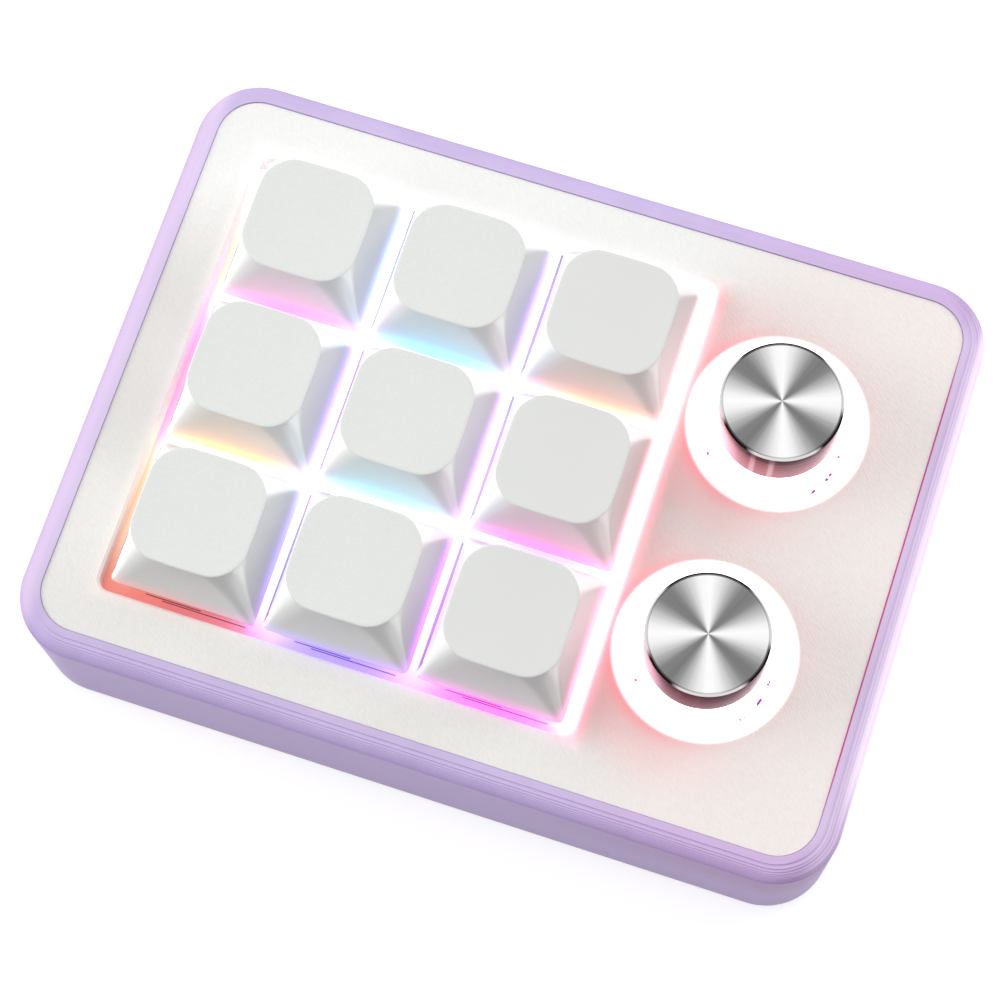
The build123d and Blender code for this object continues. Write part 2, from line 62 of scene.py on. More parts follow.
camera_data = bpy.data.cameras.new("camera")
camera_data.lens = focal_length
camera_data.clip_start = 0.01
camera = bpy.data.objects.new("camera", camera_data)
bpy.context.scene.collection.objects.link(camera)
aim = (camera_aim - camera_place).to_track_quat("-Z", "Y")
camera.rotation_mode = "QUATERNION"
camera.rotation_quaternion = aim @ Quaternion((0, 0, 1), camera_turn)
camera.location = camera_place
bpy.context.scene.camera = camera
print("camera to plate in mm", round((camera_aim - camera_place).length / MM, 1))

# %% [markdown]
# Materials are node trees. A few helpers keep them short. A Value is a socket that takes
# part in plain arithmetic, where each operation adds a node. Other helpers add noise, smooth
# changes, mixes of colour and groups. Patterns read Object coordinates, so they stay on a
# piece when its body moves.

# %% Node helpers
def linear(red, green, blue):
    """A colour written in screen values from 0 to 255, as the shader wants it."""
    values = []
    for part in (red, green, blue):
        part = part / 255
        values.append(part / 12.92 if part <= 0.04045 else ((part + 0.055) / 1.055) ** 2.4)
    return (*values, 1.0)


black = linear(0, 0, 0)
full_white = linear(255, 255, 255)


class Value:
    """A socket with plain arithmetic."""

    def __init__(self, socket):
        self.socket = socket
        self.tree = socket.id_data

    def __add__(self, other):
        return maths("ADD", self, other)

    def __sub__(self, other):
        return maths("SUBTRACT", self, other)

    def __rsub__(self, other):
        return maths("SUBTRACT", other, self)

    def __mul__(self, other):
        return maths("MULTIPLY", self, other)

    def __truediv__(self, other):
        return maths("DIVIDE", self, other)

    def __pow__(self, other):
        return maths("POWER", self, other)

    def __abs__(self):
        return maths("ABSOLUTE", self)


def add_node(tree, kind, **settings):
    node = tree.nodes.new(kind)
    for key, value in settings.items():
        setattr(node, key, value)
    return node


def feed(source, target):
    """Links a value, or writes a plain number or colour, into an input."""
    if isinstance(source, Value):
        source.tree.links.new(source.socket, target)
    else:
        target.default_value = source


def result(kind, sources, output=0, **settings):
    """Adds a node, feeds its inputs and gives one of its outputs."""
    tree = next(source.tree for source in sources.values() if isinstance(source, Value))
    node = add_node(tree, kind, **settings)
    for place, source in sources.items():
        feed(source, node.inputs[place])
    return Value(node.outputs[output])


def maths(operation, *sources):
    return result("ShaderNodeMath", dict(enumerate(sources)), operation=operation)


def largest(first, *others):
    for other in others:
        first = maths("MAXIMUM", first, other)
    return first


def vector_maths(operation, first, second=(0, 0, 0)):
    output = "Value" if operation in ("LENGTH", "DISTANCE") else "Vector"
    return result("ShaderNodeVectorMath", {0: first, 1: second}, output, operation=operation)


def scaled(vector, factor):
    return result("ShaderNodeVectorMath", {0: vector, "Scale": factor}, operation="SCALE")


def flat_vector(x, y):
    return result("ShaderNodeCombineXYZ", {0: x, 1: y})


def level_length(x, y):
    return maths("SQRT", x ** 2.0 + y ** 2.0)


# The mix node lists its sockets for every data type. These are the ones for colours.
mix_share, mix_first, mix_second, mix_result = 0, 6, 7, 2


def mix(share, first, second, blend="MIX"):
    """A mix of two colours. A share of one gives the second."""
    sources = {mix_share: share, mix_first: first, mix_second: second}
    return result("ShaderNodeMix", sources, mix_result, data_type="RGBA", blend_type=blend)


def paint(colour, layers):
    """Lays colours over one another, each through a mask of its own."""
    for mask, screen_colour in layers:
        colour = mix(mask, colour, linear(*screen_colour))
    return colour


def between(value, low, high, first=0.0, second=1.0):
    """A smooth change from first to second, as a value goes from low to high."""
    sources = {"Value": value, "From Min": low, "From Max": high, "To Min": first, "To Max": second}
    return result("ShaderNodeMapRange", sources, "Result", interpolation_type="SMOOTHSTEP")


def fading(value, low, high):
    """One up to the low end, and from there a smooth change to zero at the high end."""
    return between(value, low, high, 1.0, 0.0)


def noise(coords, scale, detail=2.0, roughness=0.5):
    sources = {"Vector": coords, "Scale": scale, "Detail": detail, "Roughness": roughness}
    return result("ShaderNodeTexNoise", sources, "Fac")


def line_noise(value, scale, detail):
    """Noise along one value, for parallel lines, fine circles or streaks round an axis."""
    sources = {"W": value, "Scale": scale, "Detail": detail}
    return result("ShaderNodeTexNoise", sources, "Fac", noise_dimensions="1D")


def object_coords(tree):
    return Value(add_node(tree, "ShaderNodeTexCoord").outputs["Object"])


def split_xyz(coords):
    node = add_node(coords.tree, "ShaderNodeSeparateXYZ")
    feed(coords, node.inputs[0])
    return [Value(socket) for socket in node.outputs]


def values_of(node):
    return {socket.name: Value(socket) for socket in node.outputs}


def new_group(name, inputs, outputs):
    """Makes a node group. A socket named Colour holds a colour, and others a number."""
    group = bpy.data.node_groups.new(name, "ShaderNodeTree")
    for side, labels in (("INPUT", inputs), ("OUTPUT", outputs)):
        for label in labels:
            kind = "NodeSocketColor" if label == "Colour" else "NodeSocketFloat"
            group.interface.new_socket(label, in_out=side, socket_type=kind)
    start = add_node(group, "NodeGroupInput")
    end = add_node(group, "NodeGroupOutput")
    return group, values_of(start), end.inputs


def use_group(tree, group, **sources):
    node = add_node(tree, "ShaderNodeGroup", node_tree=group)
    for label, source in sources.items():
        feed(source, node.inputs[label])
    return values_of(node)


def new_material(
    name, base=(0.8, 0.8, 0.8, 1), roughness=0.5, metallic=0.0, specular=0.5, **others
):
    """Makes a material. Returns it, its tree and the inputs of its shader."""
    material = bpy.data.materials.new(name)
    material.use_nodes = True
    tree = material.node_tree
    tree.nodes.clear()
    shader = add_node(tree, "ShaderNodeBsdfPrincipled")
    out = add_node(tree, "ShaderNodeOutputMaterial")
    tree.links.new(shader.outputs[0], out.inputs["Surface"])
    shader.inputs["Base Color"].default_value = base
    shader.inputs["Roughness"].default_value = roughness
    shader.inputs["Metallic"].default_value = metallic
    shader.inputs["Specular IOR Level"].default_value = specular
    for label, value in others.items():
        shader.inputs[label.replace("_", " ")].default_value = value
    return material, tree, shader.inputs


def add_bump(inputs, height, strength, distance):
    sources = {"Height": height, "Strength": strength, "Distance": distance}
    feed(result("ShaderNodeBump", sources, "Normal"), inputs["Normal"])


print("node helpers ready")

# %% [markdown]
# Light is plain and soft: an even pale dome, one broad lamp overhead, and a low one at each
# side, so that the sides of the keys catch light and their fronts stay darker. The camera,
# glass and metal see a white backdrop, while the dome alone lights the object. The lamps
# themselves stay out of reflections, so metal shows its own pattern against plain white.

# %% Light and floor
dome_level = 0.5
backdrop_level = 1.0
top_lamp_power = 1.8
left_lamp_power = 2.0
right_lamp_power = 1.5
floor_glow = 0.7
floor_colour = (0.5, 0.5, 0.52, 1)
floor_reach = 3.0


def seen_direct(tree):
    """One for rays from the camera, and those that metal or glass sends on."""
    path = add_node(tree, "ShaderNodeLightPath").outputs
    kinds = ("Camera", "Glossy", "Transmission")
    return largest(*[Value(path[f"Is {kind} Ray"]) for kind in kinds])


def make_world():
    world = bpy.data.worlds.new("studio")
    bpy.context.scene.world = world
    world.use_nodes = True
    tree = world.node_tree
    tree.nodes.clear()
    both = add_node(tree, "ShaderNodeMixShader")
    feed(seen_direct(tree), both.inputs[0])
    for place, strength in ((1, dome_level), (2, backdrop_level)):
        white = add_node(tree, "ShaderNodeBackground")
        white.inputs["Color"].default_value = full_white
        white.inputs["Strength"].default_value = strength
        tree.links.new(white.outputs[0], both.inputs[place])
    out = add_node(tree, "ShaderNodeOutputWorld")
    tree.links.new(both.outputs[0], out.inputs["Surface"])


def make_lamp(name, place, size, power):
    data = bpy.data.lights.new(name, "AREA")
    data.shape = "SQUARE"
    data.size = size
    data.energy = power
    lamp = bpy.data.objects.new(name, data)
    lamp.location = place
    lamp.visible_glossy = False
    lamp.rotation_mode = "QUATERNION"
    lamp.rotation_quaternion = (-Vector(place)).to_track_quat("-Z", "Y")
    bpy.context.scene.collection.objects.link(lamp)


def floor_material():
    """Pale paper with a glow of its own that only the camera and reflections see."""
    material = bpy.data.materials.new("floor_paper")
    material.use_nodes = True
    tree = material.node_tree
    tree.nodes.clear()
    paper = add_node(tree, "ShaderNodeBsdfDiffuse")
    paper.inputs["Color"].default_value = floor_colour
    glow = add_node(tree, "ShaderNodeEmission")
    glow.inputs["Color"].default_value = full_white
    feed(seen_direct(tree) * floor_glow, glow.inputs["Strength"])
    both = add_node(tree, "ShaderNodeAddShader")
    tree.links.new(paper.outputs[0], both.inputs[0])
    tree.links.new(glow.outputs[0], both.inputs[1])
    out = add_node(tree, "ShaderNodeOutputMaterial")
    tree.links.new(both.outputs[0], out.inputs["Surface"])
    return material


def make_floor():
    bm = bmesh.new()
    bmesh.ops.create_grid(bm, x_segments=1, y_segments=1, size=floor_reach)
    mesh = bpy.data.meshes.new("floor")
    bm.to_mesh(mesh)
    bm.free()
    floor = bpy.data.objects.new("floor", mesh)
    bpy.context.scene.collection.objects.link(floor)
    mesh.materials.append(floor_material())


make_world()
make_lamp("top_lamp", (0, 0.2, 0.88), 0.6, top_lamp_power)
make_lamp("left_lamp", (-0.62, -0.11, 0.25), 0.4, left_lamp_power)
make_lamp("right_lamp", (0.45, 0.45, 0.3), 0.4, right_lamp_power)
make_floor()
bpy.context.scene.view_settings.view_transform = "Standard"
print("dome", dome_level, "lamps", top_lamp_power, left_lamp_power, right_lamp_power)

# %% [markdown]
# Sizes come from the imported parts: the case's box gives the shell's outline, the plate's box
# gives the rim, and a keycap's box gives the pitch and the cap. What a box can't say, such
# as the thickness of a printed layer, is named here once.

# %% Measure the parts
case_low, case_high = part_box("case_frame")
plate_low, plate_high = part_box("face_plate")
cap_low, cap_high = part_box("keycap_5")
cap_spots = []
for number in range(1, 10):
    low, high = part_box(f"keycap_{number}")
    cap_spots.append((low + high) / 2)
knob_spots = []
for number in (1, 2):
    low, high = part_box(f"knob_{number}")
    knob_spots.append((low + high) / 2)

key_pitch = cap_spots[1].x - cap_spots[0].x
plate_top = plate_high.z
plate_corner = 5.0 * MM
case_size = case_high - case_low
rim_width = (case_size.x - (plate_high.x - plate_low.x)) / 2
case_corner = plate_corner + rim_width
print("pitch", round(key_pitch / MM, 2), "rim", round(rim_width / MM, 2))
print("knobs", [[round(v / MM, 2) for v in spot] for spot in knob_spots])

# %% [markdown]
# Every new piece is a bmesh that becomes one object at the origin. Two helpers draw most of
# them. A slab is a cube whose upright edges are bevelled into round corners. A loft starts
# from a circle, extrudes its edge ring by ring, and moves each ring to a measured radius.

# %% Modelling helpers
def make_piece(bm, name, smooth=True):
    """Turns a finished bmesh into an object of the scene."""
    bmesh.ops.recalc_face_normals(bm, faces=bm.faces[:])
    mesh = bpy.data.meshes.new(name)
    bm.to_mesh(mesh)
    bm.free()
    for face in mesh.polygons:
        face.use_smooth = smooth
    piece = bpy.data.objects.new(name, mesh)
    bpy.context.scene.collection.objects.link(piece)
    return piece


def slab(bm, size, corner, low, high, centre=(0, 0), steps=12):
    """Adds an upright slab with round corners to a bmesh and returns its top face."""
    verts = bmesh.ops.create_cube(bm, size=1.0)["verts"]
    bmesh.ops.scale(bm, vec=(size[0], size[1], high - low), verts=verts)
    bmesh.ops.translate(bm, vec=(centre[0], centre[1], (low + high) / 2), verts=verts)
    edges = {edge for vert in verts for edge in vert.link_edges}
    uprights = [e for e in edges if abs(e.verts[0].co.z - e.verts[1].co.z) > (high - low) / 2]
    if corner > 0:
        bmesh.ops.bevel(
            bm, geom=uprights, offset=corner, segments=steps, profile=0.5,
            affect="EDGES", material=-1,
        )
    bm.faces.ensure_lookup_table()
    tops = [f for f in bm.faces if f.normal.z > 0.9 and abs(f.calc_center_median().z - high) < 1e-7]
    return max(tops, key=lambda face: face.calc_area())


def loft(bm, rings, sides):
    """Draws a closed skin through rings. A ring is a height and a radius for each angle."""
    start = bmesh.ops.create_circle(bm, cap_ends=False, radius=0.001, segments=sides)["verts"]
    edges = list({edge for vert in start for edge in vert.link_edges})
    verts = start
    for count, (height, radius) in enumerate(rings):
        if count:
            grown = bmesh.ops.extrude_edge_only(bm, edges=edges)["geom"]
            verts = [g for g in grown if isinstance(g, bmesh.types.BMVert)]
            inside = set(verts)
            edges = [g for g in grown if isinstance(g, bmesh.types.BMEdge)]
            edges = [e for e in edges if e.verts[0] in inside and e.verts[1] in inside]
        for vert in verts:
            angle = atan2(vert.co.y, vert.co.x)
            vert.co = (radius(angle) * cos(angle), radius(angle) * sin(angle), height(angle))
    return start, verts


def close_ring(bm, verts, height):
    """Draws the last ring together into one point on the axis."""
    bmesh.ops.pointmerge(bm, verts=verts, merge_co=(0, 0, height))


def cut(piece, cutters):
    """Takes the cutters away from a piece and keeps the result as its mesh."""
    for cutter in cutters:
        step = piece.modifiers.new("cut", "BOOLEAN")
        step.operation = "DIFFERENCE"
        step.solver = "EXACT"
        step.object = cutter
    shape = piece.evaluated_get(bpy.context.evaluated_depsgraph_get())
    mesh = bpy.data.meshes.new_from_object(shape)
    piece.modifiers.clear()
    piece.data = mesh
    for cutter in cutters:
        bpy.data.objects.remove(cutter)


def smooth_below(piece, angle):
    """Shades a piece smooth, with sharp edges where it turns more than an angle."""
    piece.data.shade_smooth()
    piece.data.set_sharp_from_angle(angle=radians(angle))


print("helpers ready")

# %% [markdown]
# The case was printed in layers of a fifth of a millimetre. On the round shoulder each layer
# stops a little further in than the one below, so the shoulder is a flight of fine steps.
# Insetting the top face and extruding it, layer by layer, draws just that.

# %% Printed shell
layer = 0.2 * MM
shoulder = 2.6 * MM
least_step = 0.012 * MM
wall_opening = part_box("port_shell")


def layer_inset(height_left):
    """How far a layer's edge lies in from the wall, at a height below the top."""
    return shoulder - sqrt(shoulder ** 2 - (shoulder - height_left) ** 2)


def rim_cutter(name, size, corner, low, high):
    bm = bmesh.new()
    slab(bm, size, corner, low, high)
    return make_piece(bm, name, smooth=False)


def socket_cutter():
    """The opening in the back wall that the plug's grip goes into."""
    width, height, corner = 12.6 * MM, 6.6 * MM, 2.0 * MM
    bm = bmesh.new()
    slab(bm, (width, height), corner, 0, 8 * MM)
    middle = (wall_opening[0].z + wall_opening[1].z) / 2
    turn = Matrix.Translation((0, case_high.y + 4 * MM, middle)) @ Matrix.Rotation(pi / 2, 4, "X")
    bmesh.ops.transform(bm, matrix=turn, verts=bm.verts[:])
    return make_piece(bm, "socket_cutter", smooth=False)


def make_shell():
    bm = bmesh.new()
    top = slab(bm, case_size.xy, case_corner, case_low.z, case_high.z - shoulder, steps=16)
    done = 0.0
    count = round(shoulder / layer)
    for step in reversed(range(count)):
        inset = layer_inset((step + 0.5) * layer)
        if inset - done > least_step:
            bmesh.ops.inset_region(bm, faces=[top], thickness=inset - done, use_even_offset=True)
            done = inset
        grown = bmesh.ops.extrude_face_region(bm, geom=[top])["geom"]
        bmesh.ops.delete(bm, geom=[top], context="FACES_ONLY")
        top = [g for g in grown if isinstance(g, bmesh.types.BMFace)][0]
        bmesh.ops.translate(bm, vec=(0, 0, layer), verts=top.verts[:])
    shell = make_piece(bm, "printed_shell")
    gap = 0.08 * MM
    tight = 0.02 * MM
    groove = 0.1 * MM
    ledge = 1.5 * MM
    plate_size = (plate_high - plate_low).xy
    pocket = plate_size + Vector((2 * gap, 2 * gap))
    seat = plate_size + Vector((2 * tight, 2 * tight))
    narrow = pocket - Vector((2 * ledge, 2 * ledge))
    cover_top = case_low.z + 2.4 * MM
    plate_bottom = plate_top - 2.0 * MM
    over = 1 * MM
    cut(shell, [
        rim_cutter("through", narrow, 0, case_low.z - over, case_high.z + over),
        rim_cutter("plate_seat", seat, plate_corner + tight, plate_bottom, case_high.z + over),
        rim_cutter("groove", pocket, plate_corner + gap, plate_top - groove, case_high.z + over),
        rim_cutter("middle", pocket, plate_corner + gap, cover_top + ledge, plate_bottom - ledge),
        rim_cutter("cover_seat", pocket, plate_corner + gap, case_low.z - over, cover_top),
        socket_cutter(),
    ])
    smooth_below(shell, 25)
    return shell


shell = make_shell()
print("shell faces", len(shell.data.polygons))

# %% [markdown]
# A keycap is a hollow pyramid with soft corners. Its outline is a square whose corners grow
# rounder from the skirt to the top. The sides bow out at the top and are scooped in half way
# down, which leaves a soft ridge at each corner. One formula gives the radius of that outline
# at any angle, so the loft can use it for every ring of the cap.

# %% Keycaps
cap_sides = 160
cap_skirt = cap_high.x - cap_low.x
cap_top = 14.25 * MM
cap_skirt_corner = 0.6 * MM
cap_top_corner = 3.9 * MM
cap_bow = 0.25 * MM
cap_scoop = 0.16 * MM
cap_flare = 1.5
cap_wall = 1.3 * MM
cap_ceiling = 1.6 * MM
cap_edge = 0.2 * MM
cap_dish = 0.25 * MM


def square_radius(size, corner, bow, angle):
    """Distance from the middle to a bowed square with round corners, at an angle."""
    along, across = abs(cos(angle)), abs(sin(angle))
    if along < across:
        along, across = across, along
    half = size / 2 - bow
    reach = half / along
    middle = half - corner
    if reach * across > middle:
        both = middle * (along + across)
        reach = both + sqrt(max(both ** 2 - 2 * middle ** 2 + corner ** 2, 0))
    side = reach * across / half
    return reach * (1 + bow / half * max(1 - side ** 2, 0))


def ring(height, size, corner, bow=0.0):
    return (lambda angle: height, lambda angle: square_radius(size, corner, bow, angle))


def cap_side(share):
    """Size, corner and bow of the cap's outline, at a share of its height."""
    size = cap_top + (cap_skirt - cap_top) * (1 - share) ** cap_flare
    corner = cap_skirt_corner + (cap_top_corner - cap_skirt_corner) * share ** 1.05
    return size, corner, cap_bow * share ** 2 - 4 * cap_scoop * share * (1 - share)


def cap_rings():
    rings = []
    depth = cap_high.z - cap_low.z
    inner = cap_skirt - 2 * cap_wall
    inner_top = cap_top - 2 * cap_wall
    rings.append(ring(cap_high.z - cap_ceiling, inner_top * 0.5, 1 * MM))
    rings.append(ring(cap_high.z - cap_ceiling, inner_top, 1.5 * MM))
    rings.append(ring(cap_low.z, inner, 0.5 * MM))
    rings.append(ring(cap_low.z, cap_skirt - 0.2 * MM, cap_skirt_corner))
    rings.append(ring(cap_low.z + 0.1 * MM, cap_skirt, cap_skirt_corner))
    levels = 14
    for level in range(1, levels + 1):
        share = level / levels * (1 - cap_edge / depth)
        rings.append(ring(cap_low.z + share * depth, *cap_side(share)))
    size, corner, bow = cap_side(1 - cap_edge / depth)
    for part in range(1, 5):
        turn = radians(90 * part / 4)
        inward = 2 * cap_edge * (1 - cos(turn))
        height = cap_high.z - cap_edge * (1 - sin(turn))
        rings.append(ring(height, size - inward, corner - inward / 2, bow))
    rim = size - 2 * cap_edge
    for part in (0.96, 0.88, 0.75, 0.55, 0.3, 0.1):
        height = cap_high.z - cap_dish * (1 - part ** 2)
        rings.append(ring(height, rim * part, (corner - cap_edge) * part, bow * part))
    return rings


def make_keycap(number, spot):
    bm = bmesh.new()
    first, last = loft(bm, cap_rings(), cap_sides)
    close_ring(bm, first, cap_high.z - cap_ceiling)
    close_ring(bm, last, cap_high.z - cap_dish)
    post_low = cap_low.z + 0.5 * MM
    post = 5.5 * MM
    slab(bm, (post, post), 0.8 * MM, post_low, cap_high.z - cap_ceiling + 0.3 * MM, steps=4)
    bmesh.ops.translate(bm, vec=(spot.x, spot.y, 0), verts=bm.verts[:])
    cap = make_piece(bm, f"keytop_{number}")
    smooth_below(cap, 35)
    return cap


keytops = [make_keycap(number, spot) for number, spot in enumerate(cap_spots, start=1)]
print("faces in a keycap", len(keytops[0].data.polygons))

# %% [markdown]
# The knobs were turned on a lathe, so a spin of their profile is the natural way to draw
# them. The fine chamfer catches the light in a thin line round the face. A small hole in
# the side leads to the set screw.

# %% Knobs
knob_low, knob_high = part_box("knob_1")
knob_radius = (knob_high.x - knob_low.x) / 2
knob_chamfer = 0.25 * MM
knob_foot = 0.15 * MM
knob_turns = 160
knob_bore = 3.05 * MM
screw_play = 0.03 * MM
screw_reach = 9 * MM


def knob_profile():
    """Points from the axis at the bottom, round the outside, to the axis at the top."""
    soft = 0.06 * MM
    top = knob_high.z
    return [
        (0, knob_low.z),
        (knob_radius - knob_foot, knob_low.z),
        (knob_radius, knob_low.z + knob_foot),
        (knob_radius, top - knob_chamfer - soft),
        (knob_radius - soft * 0.3, top - knob_chamfer + soft * 0.3),
        (knob_radius - knob_chamfer - soft * 0.3, top - soft * 0.3),
        (knob_radius - knob_chamfer - soft, top),
        (0, top),
    ]


def hole_cutter(name, radius, length, matrix):
    bm = bmesh.new()
    bmesh.ops.create_cone(
        bm, cap_ends=True, segments=40, radius1=radius, radius2=radius, depth=length, matrix=matrix
    )
    return make_piece(bm, name, smooth=False)


def make_knob(number, spot):
    bm = bmesh.new()
    verts = [bm.verts.new((radius, 0, height)) for radius, height in knob_profile()]
    edges = [bm.edges.new(pair) for pair in zip(verts, verts[1:])]
    bmesh.ops.spin(
        bm, geom=verts + edges, cent=(0, 0, 0), axis=(0, 0, 1), dvec=(0, 0, 0),
        angle=2 * pi, steps=knob_turns, use_merge=True, use_duplicate=False,
    )
    bmesh.ops.remove_doubles(bm, verts=bm.verts[:], dist=1e-6)
    bmesh.ops.translate(bm, vec=(spot.x, spot.y, 0), verts=bm.verts[:])
    knob = make_piece(bm, f"turned_knob_{number}")
    bore_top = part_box(f"encoder_shaft_{number}")[1].z + 0.1 * MM
    bore_low = knob_low.z - 1 * MM
    bore = Matrix.Translation((spot.x, spot.y, (bore_top + bore_low) / 2))
    screw_low, screw_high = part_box(f"knob_screw_{number}")
    screw_radius = (screw_high.z - screw_low.z) / 2
    side = Matrix.Translation((spot.x, spot.y + 6 * MM, (screw_low.z + screw_high.z) / 2))
    side = side @ Matrix.Rotation(pi / 2, 4, "X")
    cut(knob, [
        hole_cutter("bore", knob_bore, bore_top - bore_low, bore),
        hole_cutter("screw_hole", screw_radius + screw_play, screw_reach, side),
    ])
    smooth_below(knob, 30)
    return knob


knobs = [make_knob(number, spot) for number, spot in enumerate(knob_spots, start=1)]
print("faces in a knob", len(knobs[0].data.polygons))

# %% [markdown]
# Lights of many colours shine under the keys. Each is a spot with a place, a colour and a
# power, and a point takes the mean of the spots weighted by how near they are. One group
# holds this, because the deck, the switches, the caps and the plate all use it. The lights
# along the front edge are weak, so their colours stay deep.

# %% Colours of the lights
light_reach = 5.6 * MM
front_lights = [
    (255, 105, 215, 1.0), (115, 220, 255, 1.1), (255, 170, 130, 1.0),
    (255, 185, 110, 1.0), (140, 235, 255, 1.1), (255, 95, 200, 1.0),
    (222, 104, 102, 0.18), (165, 142, 255, 0.22), (255, 105, 225, 0.28),
]
between_lights = [
    (180, 200, 255, 1.0), (190, 165, 255, 1.0),
    (190, 165, 255, 0.9), (228, 180, 255, 0.9),
    (180, 160, 246, 0.6), (222, 135, 255, 0.8),
]
left_lights = [(255, 232, 200, 0.24), (255, 180, 230, 0.2), (255, 215, 180, 0.2)]
corner_light = (242, 112, 100, 0.17)
back_light = (255, 248, 246, 0.6)
right_lights = [(255, 215, 225, 1.2), (255, 190, 205, 1.2), (255, 165, 205, 1.0)]


def light_spots():
    """Places, colours and powers of the spots: in front of each key, and beside the columns."""
    half = key_pitch / 2
    spots = [(spot.x, spot.y - half, light) for spot, light in zip(cap_spots, front_lights)]
    spots.append((cap_spots[6].x - half, cap_spots[6].y - half, corner_light))
    spots.append((cap_spots[0].x - half, cap_spots[0].y + half, back_light))
    spots += [(spot.x, spot.y + half, back_light) for spot in cap_spots[:3]]
    for row in range(3):
        first = cap_spots[3 * row]
        lights = (left_lights[row], *between_lights[2 * row:2 * row + 2], right_lights[row])
        for column, light in enumerate(lights):
            spots.append((first.x - half + column * key_pitch, first.y, light))
    return spots


def make_glow_group():
    """Colour and power of the light at a point, whatever its height."""
    group, start, end = new_group("key_glow", (), ("Colour", "Power"))
    x, y, z = split_xyz(object_coords(group))
    total = (0, 0, 0)
    weights = 0.0
    powers = 0.0
    for place_x, place_y, (red, green, blue, power) in light_spots():
        distance = vector_maths("LENGTH", flat_vector(x - place_x, y - place_y))
        weight = maths("EXPONENT", (distance / light_reach) ** 2.0 * -1.0)
        total = vector_maths("ADD", scaled(linear(red, green, blue)[:3], weight), total)
        weights = weight + weights
        powers = weight * power + powers
    share = maths("DIVIDE", 1.0, largest(weights, 1e-4))
    feed(scaled(total, share), end["Colour"])
    feed(powers * share, end["Power"])
    return group


glow_group = make_glow_group()
print("spots of light", len(light_spots()))

# %% [markdown]
# Printed plastic shows its making: walls have a fine line for each layer, and a top face
# has the slanted lines of its fill, with tiny pits and bumps. One group gives these as a
# height for a bump node and as tones. It also tells the steep front of a layer from its flat
# top, because the flat top lies just at a whole number of layers.

# %% Printed plastic
line_pitch = 0.4 * MM
layer_wave = 0.02 * MM
flat_part = 0.008 * MM
steep_part = 0.03 * MM


def make_print_group():
    labels = ("Height", "Tone", "Fill", "Riser", "Step", "Pits")
    group, start, end = new_group("printed_plastic", ("Lines", "Layers", "Grain"), labels)
    coords = object_coords(group)
    x, y, z = split_xyz(coords)
    lines = noise(flat_vector((x + y) * 1.5, (x - y) * 0.3), 1 / line_pitch, 2.0, 0.4)
    layers = maths("SINE", (z + noise(coords, 25.0) * layer_wave) * (2 * pi / layer))
    above = z - case_high.z
    off_flat = maths("PINGPONG", above, layer / 2)
    count = maths("ROUND", above / layer)
    step = result("ShaderNodeTexWhiteNoise", {"W": count}, "Value", noise_dimensions="1D")
    grain = noise(coords, 2600.0, 3.0, 0.6)
    pits = between(noise(coords, 2300.0, 2.0), 0.66, 0.74)
    height = lines * start["Lines"] + layers * start["Layers"] + (grain - pits) * start["Grain"]
    tone = noise(coords, 180.0, 3.0)
    fill = between(lines, 0.35, 0.65)
    riser = between(off_flat, flat_part, steep_part)
    for label, value in zip(labels, (height, tone, fill, riser, step, pits)):
        feed(value, end[label])
    return group


print_group = make_print_group()
print("printed finish ready, layers in the shoulder", round(shoulder / layer))

# %% [markdown]
# The case is lavender, pinker to the right. Its shoulder has a line of painted shade under each
# step, the wall below the shoulder is painted darker as shade, its right rim has a painted
# highlight that glows a little, and the joint beside the plate shows a line of magenta there.

# %% Lavender print
def outline_distance(x, y):
    """How far a point lies outside the middle line of the case's round corners."""
    out_x = largest(abs(x) - (case_size.x / 2 - case_corner), 0.0)
    out_y = largest(abs(y) - (case_size.y / 2 - case_corner), 0.0)
    return level_length(out_x, out_y)


def shoulder_lines(printed, x, y, z):
    """Dark lines: painted shade at the steps of the shoulder, with a tone that differs from layer
    to layer, and long ones that follow the right side.
    """
    top = case_high.z
    on_shoulder = between(z, top - 1.9 * MM, top - 0.8 * MM, 0.0, 0.2)
    steps = (printed["Riser"] + printed["Step"] * 0.6) * on_shoulder
    inward = outline_distance(x, y)
    lines = between(line_noise(inward, 3600.0, 1.0), 0.4, 0.6, 0.0, 0.3)
    lines = lines * between(inward, case_corner - 2.7 * MM, case_corner - 2.3 * MM)
    lines = lines * between(x, 43 * MM, 48 * MM)
    return largest(steps, lines * between(z, top - 3.0 * MM, top - 1.6 * MM))


